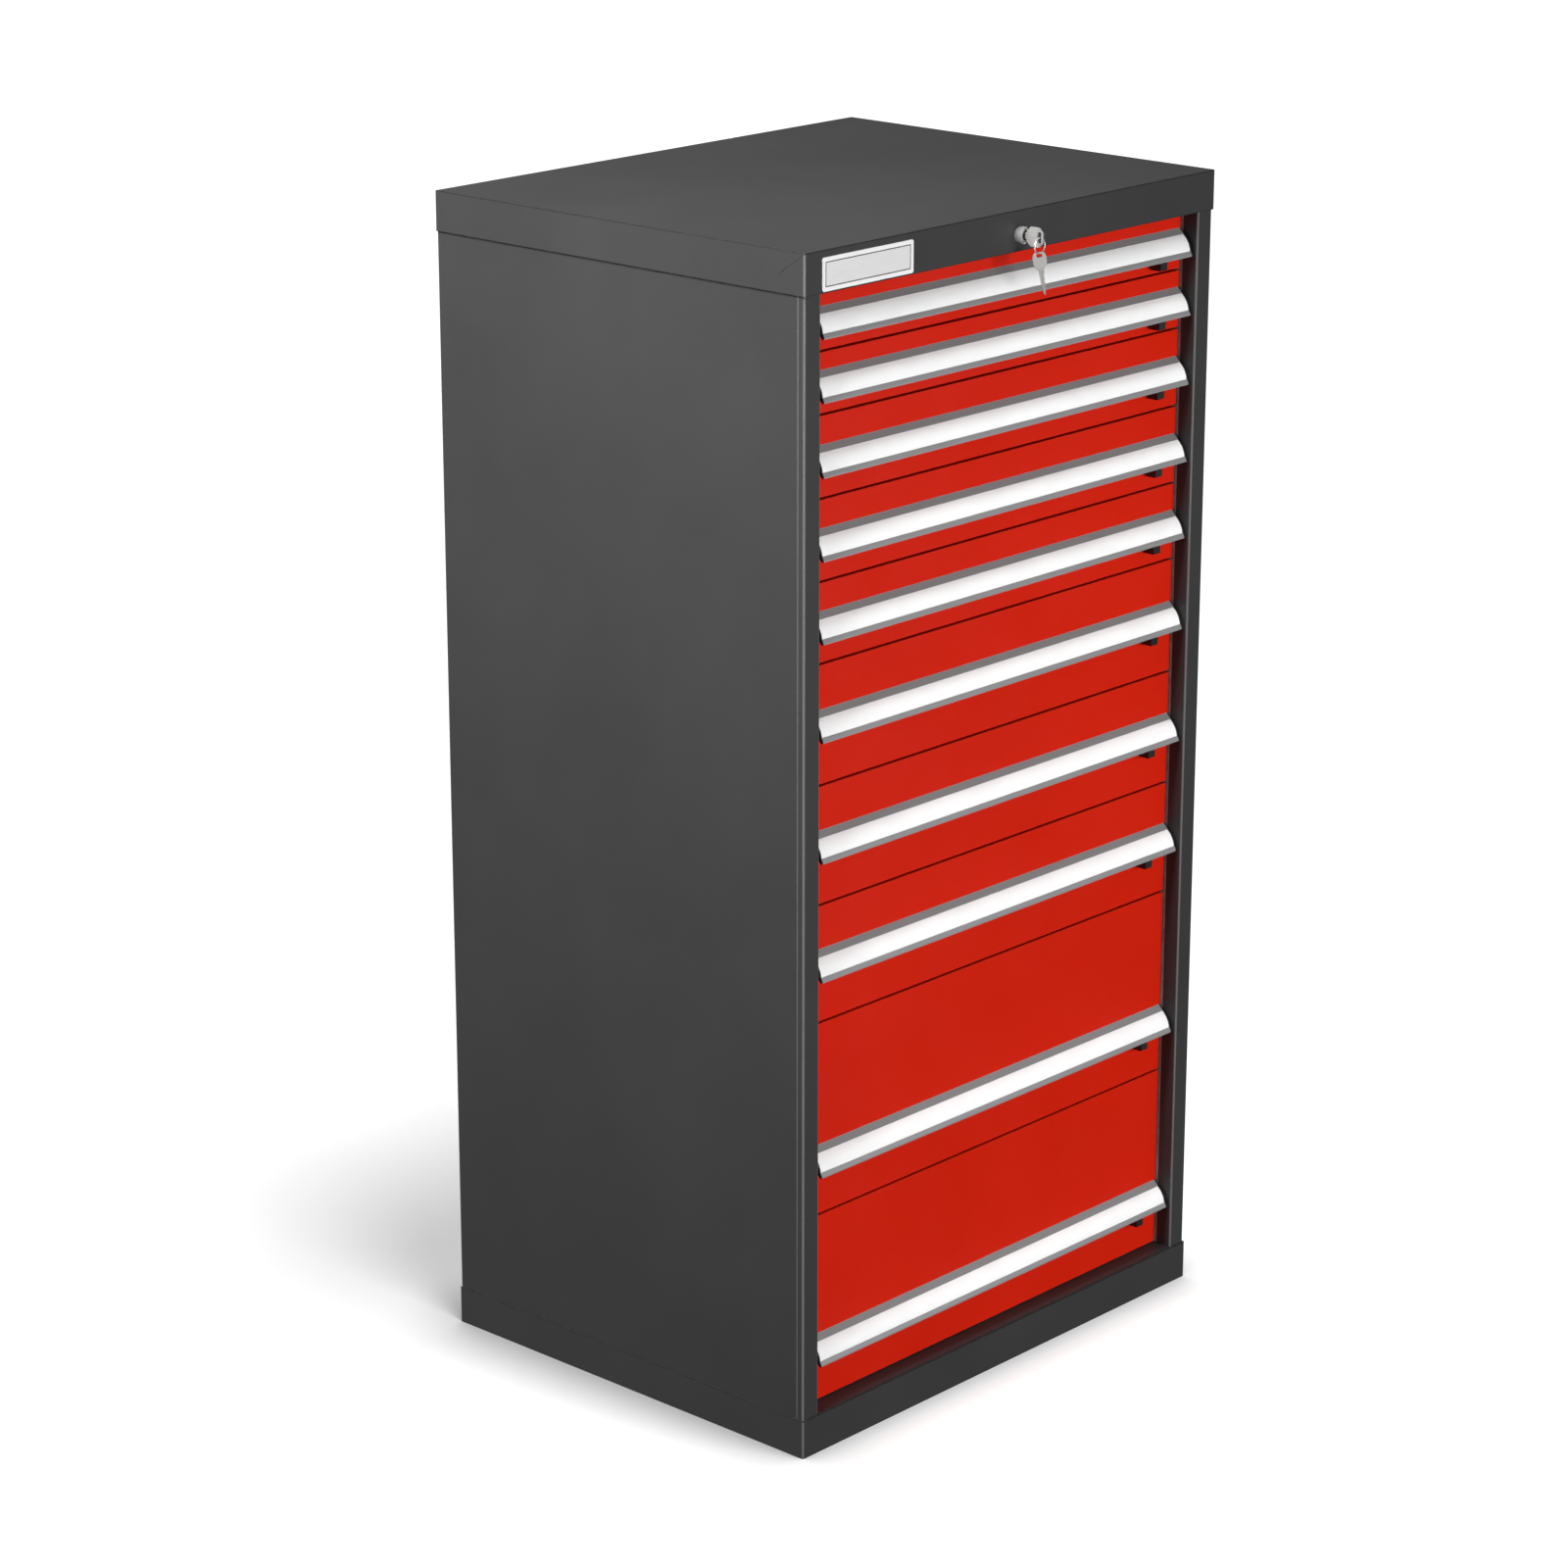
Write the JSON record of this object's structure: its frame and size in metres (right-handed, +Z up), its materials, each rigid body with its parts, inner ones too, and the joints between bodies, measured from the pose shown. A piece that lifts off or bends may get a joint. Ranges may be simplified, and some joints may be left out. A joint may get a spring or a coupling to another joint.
{
  "type": "modular drawer tool cabinet",
  "caption": "Tall free-standing modular tool cabinet: charcoal steel carcass on a flat plinth, red full-width drawers with aluminium label-holder handles, thumb catches and a key lock.",
  "frame": {"origin": "on the floor, centred under the overall box of the cabinet with its key in the lock", "axes": "+Z up, +X to the right seen from the front, drawers open towards -Y"},
  "size_m": [0.762, 0.646, 1.5],
  "materials": {
    "carcass_paint": "charcoal powder coat, fine texture",
    "drawer_paint": "red powder coat, semi-gloss",
    "handle_aluminium": "satin anodised extrusion",
    "label_strip": "white label insert under a clear strip",
    "clear_cover": "clear flexible cover strip",
    "black_plastic": "moulded, fine grain",
    "galvanised_steel": "zinc plated",
    "chrome": "polished",
    "key_nickel": "nickel plated, lightly worn",
    "plate_aluminium": "satin, blank with a border line"
  },
  "bodies": {
    "root": {"top_cover": "carcass_paint", "side_panel_left": "carcass_paint", "side_panel_right": "carcass_paint", "back_panel": "carcass_paint", "bottom_pan": "carcass_paint", "base_plinth": "carcass_paint", "slotted_uprights": "galvanised_steel", "fixed_rails_left": "galvanised_steel", "fixed_rails_right": "galvanised_steel", "nameplate": "plate_aluminium", "fasteners": "galvanised_steel", "lock_housing": "chrome"},
    "lock": {"lock_plug": "chrome", "lock_cam": "galvanised_steel", "key_in_lock": "key_nickel"},
    "ring": {"key_ring": "chrome"},
    "lock_bar": {"lock_bar": "galvanised_steel"},
    "drawer_01": {"drawer_01_box": "drawer_paint", "drawer_01_handle": "handle_aluminium"},
    "slides_01": {"drawer_01_slides": "galvanised_steel"},
    "catch_01": {"drawer_01_catch": "black_plastic"},
    "drawer_02": {"drawer_02_box": "drawer_paint", "drawer_02_handle": "handle_aluminium"},
    "slides_02": {"drawer_02_slides": "galvanised_steel"},
    "catch_02": {"drawer_02_catch": "black_plastic"},
    "drawer_03": {"drawer_03_box": "drawer_paint", "drawer_03_handle": "handle_aluminium"},
    "slides_03": {"drawer_03_slides": "galvanised_steel"},
    "catch_03": {"drawer_03_catch": "black_plastic"},
    "drawer_04": {"drawer_04_box": "drawer_paint", "drawer_04_handle": "handle_aluminium"},
    "slides_04": {"drawer_04_slides": "galvanised_steel"},
    "catch_04": {"drawer_04_catch": "black_plastic"},
    "drawer_05": {"drawer_05_box": "drawer_paint", "drawer_05_handle": "handle_aluminium"},
    "slides_05": {"drawer_05_slides": "galvanised_steel"},
    "catch_05": {"drawer_05_catch": "black_plastic"},
    "drawer_06": {"drawer_06_box": "drawer_paint", "drawer_06_handle": "handle_aluminium"},
    "slides_06": {"drawer_06_slides": "galvanised_steel"},
    "catch_06": {"drawer_06_catch": "black_plastic"},
    "drawer_07": {"drawer_07_box": "drawer_paint", "drawer_07_handle": "handle_aluminium"},
    "slides_07": {"drawer_07_slides": "galvanised_steel"},
    "catch_07": {"drawer_07_catch": "black_plastic"},
    "drawer_08": {"drawer_08_box": "drawer_paint", "drawer_08_handle": "handle_aluminium"},
    "slides_08": {"drawer_08_slides": "galvanised_steel"},
    "catch_08": {"drawer_08_catch": "black_plastic"},
    "drawer_09": {"drawer_09_box": "drawer_paint", "drawer_09_handle": "handle_aluminium"},
    "slides_09": {"drawer_09_slides": "galvanised_steel"},
    "catch_09": {"drawer_09_catch": "black_plastic"},
    "drawer_10": {"drawer_10_box": "drawer_paint", "drawer_10_handle": "handle_aluminium"},
    "slides_10": {"drawer_10_slides": "galvanised_steel"},
    "catch_10": {"drawer_10_catch": "black_plastic"}
  },
  "joints": [
    {"name": "lock_turn", "type": "hinge", "parent": "root", "child": "lock", "pos_m": [0, -0.287, 1.47], "axis": [0, -1, 0], "range_deg": [0, 90.5]},
    {"name": "lock_bar_lift", "type": "slide", "parent": "root", "child": "lock_bar", "axis": [0, 0, 1], "range_m": [0, 0.008]},
    {"name": "ring_hang", "type": "hinge", "parent": "lock", "child": "ring", "pos_m": [0, -0.318, 1.4605], "axis": [0, -1, 0], "range_deg": [-90.5, 0]},
    {"name": "drawer_01_slide", "type": "slide", "parent": "root", "child": "drawer_01", "axis": [0, -1, 0], "range_m": [0, 0.5]},
    {"name": "slides_01_run", "type": "slide", "parent": "root", "child": "slides_01", "axis": [0, -1, 0], "range_m": [0, 0.251]},
    {"name": "catch_01_press", "type": "slide", "parent": "drawer_01", "child": "catch_01", "axis": [-1, 0, 0], "range_m": [0, 0.006], "stiffness_N_per_m": 150, "springref_m": -0.001},
    {"name": "drawer_02_slide", "type": "slide", "parent": "root", "child": "drawer_02", "axis": [0, -1, 0], "range_m": [0, 0.5]},
    {"name": "slides_02_run", "type": "slide", "parent": "root", "child": "slides_02", "axis": [0, -1, 0], "range_m": [0, 0.251]},
    {"name": "catch_02_press", "type": "slide", "parent": "drawer_02", "child": "catch_02", "axis": [-1, 0, 0], "range_m": [0, 0.006], "stiffness_N_per_m": 150, "springref_m": -0.001},
    {"name": "drawer_03_slide", "type": "slide", "parent": "root", "child": "drawer_03", "axis": [0, -1, 0], "range_m": [0, 0.5]},
    {"name": "slides_03_run", "type": "slide", "parent": "root", "child": "slides_03", "axis": [0, -1, 0], "range_m": [0, 0.251]},
    {"name": "catch_03_press", "type": "slide", "parent": "drawer_03", "child": "catch_03", "axis": [-1, 0, 0], "range_m": [0, 0.006], "stiffness_N_per_m": 150, "springref_m": -0.001},
    {"name": "drawer_04_slide", "type": "slide", "parent": "root", "child": "drawer_04", "axis": [0, -1, 0], "range_m": [0, 0.5]},
    {"name": "slides_04_run", "type": "slide", "parent": "root", "child": "slides_04", "axis": [0, -1, 0], "range_m": [0, 0.251]},
    {"name": "catch_04_press", "type": "slide", "parent": "drawer_04", "child": "catch_04", "axis": [-1, 0, 0], "range_m": [0, 0.006], "stiffness_N_per_m": 150, "springref_m": -0.001},
    {"name": "drawer_05_slide", "type": "slide", "parent": "root", "child": "drawer_05", "axis": [0, -1, 0], "range_m": [0, 0.5]},
    {"name": "slides_05_run", "type": "slide", "parent": "root", "child": "slides_05", "axis": [0, -1, 0], "range_m": [0, 0.251]},
    {"name": "catch_05_press", "type": "slide", "parent": "drawer_05", "child": "catch_05", "axis": [-1, 0, 0], "range_m": [0, 0.006], "stiffness_N_per_m": 150, "springref_m": -0.001},
    {"name": "drawer_06_slide", "type": "slide", "parent": "root", "child": "drawer_06", "axis": [0, -1, 0], "range_m": [0, 0.5]},
    {"name": "slides_06_run", "type": "slide", "parent": "root", "child": "slides_06", "axis": [0, -1, 0], "range_m": [0, 0.251]},
    {"name": "catch_06_press", "type": "slide", "parent": "drawer_06", "child": "catch_06", "axis": [-1, 0, 0], "range_m": [0, 0.006], "stiffness_N_per_m": 150, "springref_m": -0.001},
    {"name": "drawer_07_slide", "type": "slide", "parent": "root", "child": "drawer_07", "axis": [0, -1, 0], "range_m": [0, 0.5]},
    {"name": "slides_07_run", "type": "slide", "parent": "root", "child": "slides_07", "axis": [0, -1, 0], "range_m": [0, 0.251]},
    {"name": "catch_07_press", "type": "slide", "parent": "drawer_07", "child": "catch_07", "axis": [-1, 0, 0], "range_m": [0, 0.006], "stiffness_N_per_m": 150, "springref_m": -0.001},
    {"name": "drawer_08_slide", "type": "slide", "parent": "root", "child": "drawer_08", "axis": [0, -1, 0], "range_m": [0, 0.5]},
    {"name": "slides_08_run", "type": "slide", "parent": "root", "child": "slides_08", "axis": [0, -1, 0], "range_m": [0, 0.251]},
    {"name": "catch_08_press", "type": "slide", "parent": "drawer_08", "child": "catch_08", "axis": [-1, 0, 0], "range_m": [0, 0.006], "stiffness_N_per_m": 150, "springref_m": -0.001},
    {"name": "drawer_09_slide", "type": "slide", "parent": "root", "child": "drawer_09", "axis": [0, -1, 0], "range_m": [0, 0.5]},
    {"name": "slides_09_run", "type": "slide", "parent": "root", "child": "slides_09", "axis": [0, -1, 0], "range_m": [0, 0.251]},
    {"name": "catch_09_press", "type": "slide", "parent": "drawer_09", "child": "catch_09", "axis": [-1, 0, 0], "range_m": [0, 0.006], "stiffness_N_per_m": 150, "springref_m": -0.001},
    {"name": "drawer_10_slide", "type": "slide", "parent": "root", "child": "drawer_10", "axis": [0, -1, 0], "range_m": [0, 0.5]},
    {"name": "slides_10_run", "type": "slide", "parent": "root", "child": "slides_10", "axis": [0, -1, 0], "range_m": [0, 0.251]},
    {"name": "catch_10_press", "type": "slide", "parent": "drawer_10", "child": "catch_10", "axis": [-1, 0, 0], "range_m": [0, 0.006], "stiffness_N_per_m": 150, "springref_m": -0.001}
  ],
  "couplings": [
    {"joint": "lock_turn", "follows": "lock_bar_lift", "rad_per_m": 196.35},
    {"joint": "ring_hang", "follows": "lock_bar_lift", "rad_per_m": -196.35},
    {"joint": "slides_01_run", "follows": "drawer_01_slide", "ratio": 0.5},
    {"joint": "slides_02_run", "follows": "drawer_02_slide", "ratio": 0.5},
    {"joint": "slides_03_run", "follows": "drawer_03_slide", "ratio": 0.5},
    {"joint": "slides_04_run", "follows": "drawer_04_slide", "ratio": 0.5},
    {"joint": "slides_05_run", "follows": "drawer_05_slide", "ratio": 0.5},
    {"joint": "slides_06_run", "follows": "drawer_06_slide", "ratio": 0.5},
    {"joint": "slides_07_run", "follows": "drawer_07_slide", "ratio": 0.5},
    {"joint": "slides_08_run", "follows": "drawer_08_slide", "ratio": 0.5},
    {"joint": "slides_09_run", "follows": "drawer_09_slide", "ratio": 0.5},
    {"joint": "slides_10_run", "follows": "drawer_10_slide", "ratio": 0.5}
  ]
}
